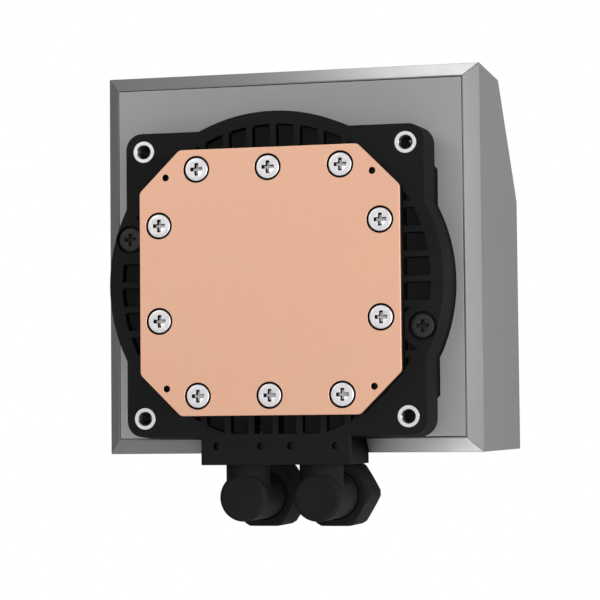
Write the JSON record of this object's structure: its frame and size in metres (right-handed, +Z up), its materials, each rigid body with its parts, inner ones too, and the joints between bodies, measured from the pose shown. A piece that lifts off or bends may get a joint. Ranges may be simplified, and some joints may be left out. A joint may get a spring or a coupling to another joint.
{
  "type": "cpu liquid cooler pump head",
  "caption": "Liquid cooler pump head: copper cold plate in a ribbed black base, bevelled metal housing behind, and swivel elbow hose ports below.",
  "frame": {"origin": "centre of the copper contact face of the cold plate", "axes": "+Y from the contact face into the cooler, +Z up with the hose ports below, +X to the right seen from the contact face"},
  "size_m": [0.0892, 0.0789, 0.1062],
  "materials": {
    "copper": "fine milled copper",
    "winding_copper": "enamelled wire",
    "bright_steel": "nickel plated",
    "black_steel": "black oxide",
    "black_plastic": "moulded satin",
    "inner_plastic": "moulded matte",
    "elbow_plastic": "moulded, slightly glossy",
    "housing_metal": "satin anodised",
    "plate_metal": "satin anodised",
    "seal_rubber": "smooth",
    "shaft_steel": "ground",
    "magnet": "sintered",
    "bearing_ceramic": "ground ceramic",
    "core_steel": "stacked sheets",
    "board": "solder mask"
  },
  "bodies": {
    "head": {"cold_plate": "copper", "cold_plate_screws": "bright_steel", "cold_plate_gasket": "seal_rubber", "pump_base": "black_plastic", "threaded_inserts": "bright_steel", "base_screws": "black_steel", "base_spacer": "black_plastic", "flow_plate": "inner_plastic", "housing_back_plate": "plate_metal", "housing_shell": "housing_metal", "motor_can": "inner_plastic", "motor_can_seal": "seal_rubber", "motor_can_screws": "bright_steel", "pump_shaft": "shaft_steel", "front_thrust_washer": "bearing_ceramic", "rear_thrust_washer": "bearing_ceramic", "stator_core": "core_steel", "stator_coils": "winding_copper", "circuit_board": "board", "board_posts": "bright_steel", "board_screws": "bright_steel", "port_pins": "black_steel"},
    "rotor": {"impeller": "inner_plastic", "impeller_bush": "bearing_ceramic", "rotor_magnet": "magnet"},
    "left_port": {"left_elbow": "elbow_plastic", "left_hose_nut": "elbow_plastic", "left_port_seal": "seal_rubber"},
    "right_port": {"right_elbow": "elbow_plastic", "right_hose_nut": "elbow_plastic", "right_port_seal": "seal_rubber"}
  },
  "joints": [
    {"name": "impeller_spin", "type": "hinge", "parent": "head", "child": "rotor", "pos_m": [0, 0.026, 0], "axis": [0, 1, 0], "continuous": true},
    {"name": "left_elbow_swivel", "type": "hinge", "parent": "head", "child": "left_port", "pos_m": [-0.0086, 0.0133, -0.0369], "axis": [0, 0, 1], "range_deg": [-1, 100]},
    {"name": "right_elbow_swivel", "type": "hinge", "parent": "head", "child": "right_port", "pos_m": [0.0086, 0.0133, -0.0369], "axis": [0, 0, 1], "range_deg": [-100, 1]}
  ]
}
